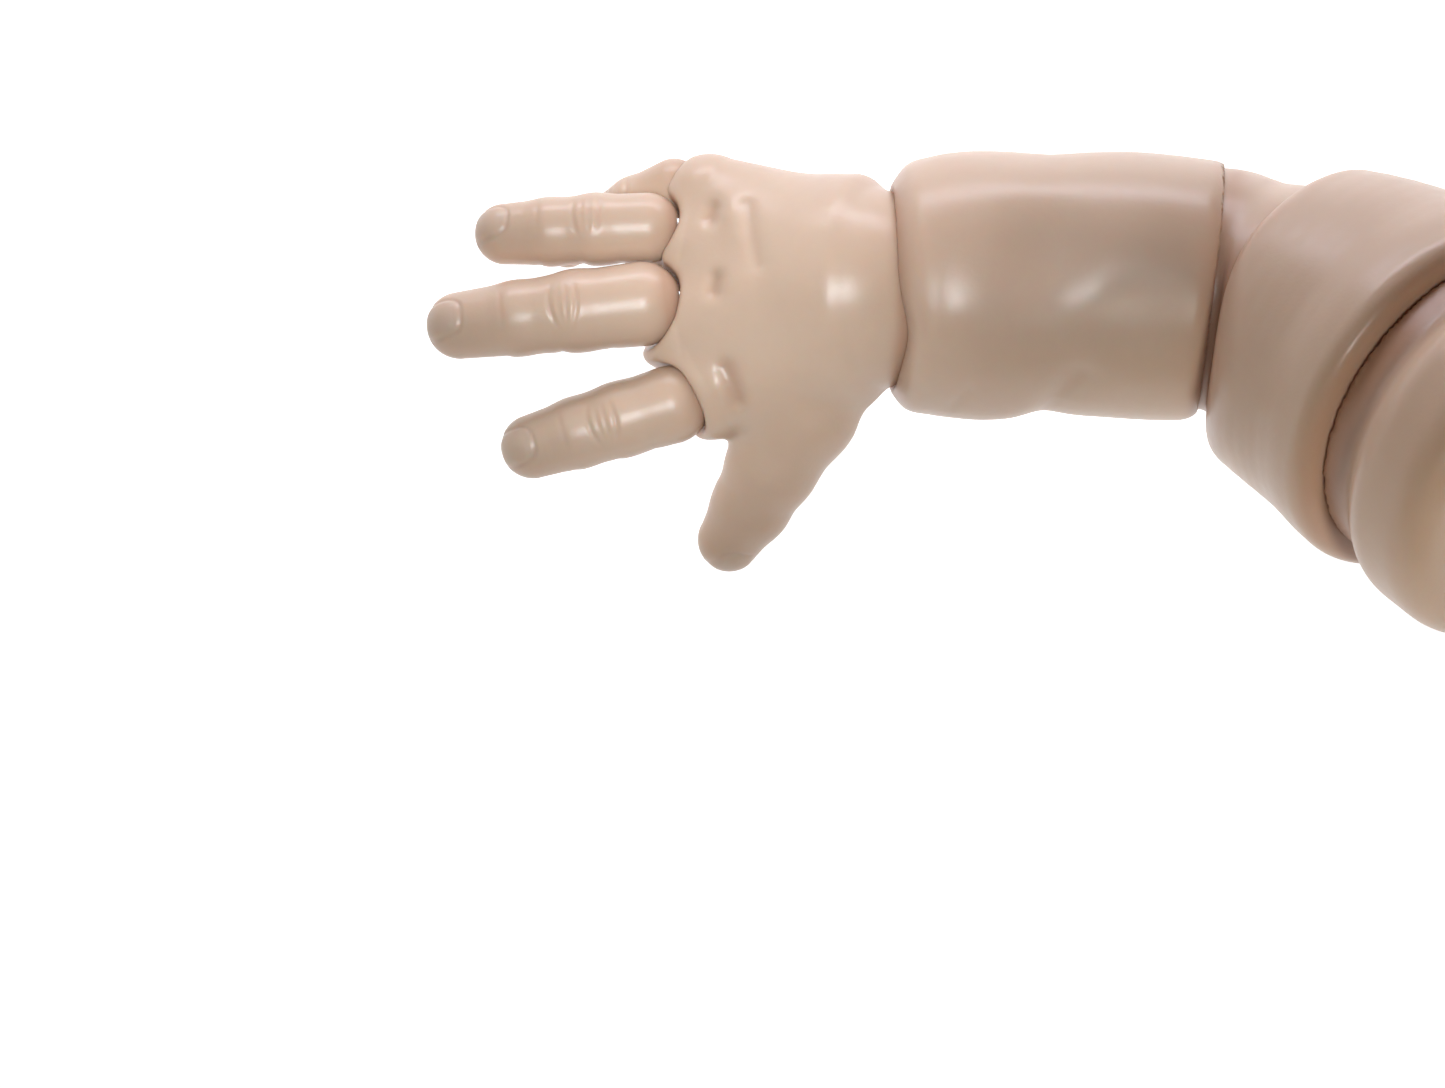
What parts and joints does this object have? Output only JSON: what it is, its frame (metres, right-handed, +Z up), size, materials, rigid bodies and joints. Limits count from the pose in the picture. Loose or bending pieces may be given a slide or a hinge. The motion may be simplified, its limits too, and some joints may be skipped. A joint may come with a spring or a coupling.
{
  "type": "prosthetic arm",
  "caption": "Passive infant-size right arm with a chubby hand, soft skin shells over a jointed frame, and a grooved flange at the shoulder end.",
  "frame": {"origin": "centre of the flat end face of the shoulder flange, at the mouth of the threaded insert", "axes": "+Z up as the arm lies palm down, fingers towards -X along the forearm, thumb side towards -Y"},
  "size_m": [0.2033, 0.0808, 0.0883],
  "materials": {
    "skin": "satin soft vinyl, warm beige, faint blush in the creases",
    "steel": "turned, satin",
    "screw_steel": "black oxide",
    "brass": "turned",
    "frame_alloy": "bead blasted",
    "nylon": "natural nylon"
  },
  "bodies": {
    "shoulder": {"shoulder_flange": "skin", "shoulder_insert": "brass", "swivel_stud": "steel", "spring_washer": "steel", "friction_washer": "nylon"},
    "upper_arm": {"upper_arm_shell": "skin", "shoulder_plate": "frame_alloy", "shoulder_screws": "screw_steel", "upper_arm_core": "frame_alloy", "elbow_pin": "steel", "elbow_washers": "nylon", "elbow_ball": "skin"},
    "forearm": {"forearm_shell": "skin", "forearm_frame": "frame_alloy", "forearm_screws": "screw_steel", "wrist_bush": "brass"},
    "wrist": {"wrist_peg": "steel", "wrist_washer": "steel", "wrist_nut": "steel"},
    "hand": {"palm_shell": "skin", "palm_frame": "frame_alloy", "wrist_pin": "steel"},
    "index": {"index_skin": "skin", "index_core": "nylon", "index_pin": "steel"},
    "middle": {"middle_skin": "skin", "middle_core": "nylon", "middle_pin": "steel"},
    "ring": {"ring_skin": "skin", "ring_core": "nylon", "ring_pin": "steel"},
    "little": {"little_skin": "skin", "little_core": "nylon", "little_pin": "steel"},
    "thumb": {"thumb_skin": "skin", "thumb_core": "nylon", "thumb_pin": "steel"}
  },
  "joints": [
    {"name": "shoulder_swivel", "type": "hinge", "parent": "shoulder", "child": "upper_arm", "pos_m": [-0.01102, 0.01146, -0.01521], "axis": [0.5009, -0.5209, 0.6912], "continuous": true},
    {"name": "elbow_bend", "type": "hinge", "parent": "upper_arm", "child": "forearm", "pos_m": [-0.04473, 0.03368, -0.04432], "axis": [0, -0.7894, -0.6139], "range_deg": [0, 35]},
    {"name": "wrist_turn", "type": "hinge", "parent": "forearm", "child": "wrist", "pos_m": [-0.10763, 0.03368, -0.04432], "axis": [1, 0, 0], "range_deg": [-90, 90]},
    {"name": "wrist_bend", "type": "hinge", "parent": "wrist", "child": "hand", "pos_m": [-0.10763, 0.03368, -0.04432], "axis": [0, -1, 0], "range_deg": [-25, 25]},
    {"name": "index_bend", "type": "hinge", "parent": "hand", "child": "index", "pos_m": [-0.13793, 0.01418, -0.04532], "axis": [0.2855, -0.9584, 0], "range_deg": [0, 45]},
    {"name": "middle_bend", "type": "hinge", "parent": "hand", "child": "middle", "pos_m": [-0.14283, 0.03128, -0.04432], "axis": [0.1122, -0.9937, 0], "range_deg": [0, 45]},
    {"name": "ring_bend", "type": "hinge", "parent": "hand", "child": "ring", "pos_m": [-0.14203, 0.04458, -0.04732], "axis": [0.037, -0.9993, 0], "range_deg": [0, 45]},
    {"name": "little_bend", "type": "hinge", "parent": "hand", "child": "little", "pos_m": [-0.13743, 0.05238, -0.05452], "axis": [0.4048, -0.9144, 0], "range_deg": [0, 45]},
    {"name": "thumb_bend", "type": "hinge", "parent": "hand", "child": "thumb", "pos_m": [-0.11663, 0.01438, -0.04732], "axis": [0.9244, -0.3209, -0.2063], "range_deg": [-10, 25]}
  ],
  "couplings": [
    {"joint": "little_bend", "follows": "ring_bend", "ratio": 1}
  ]
}
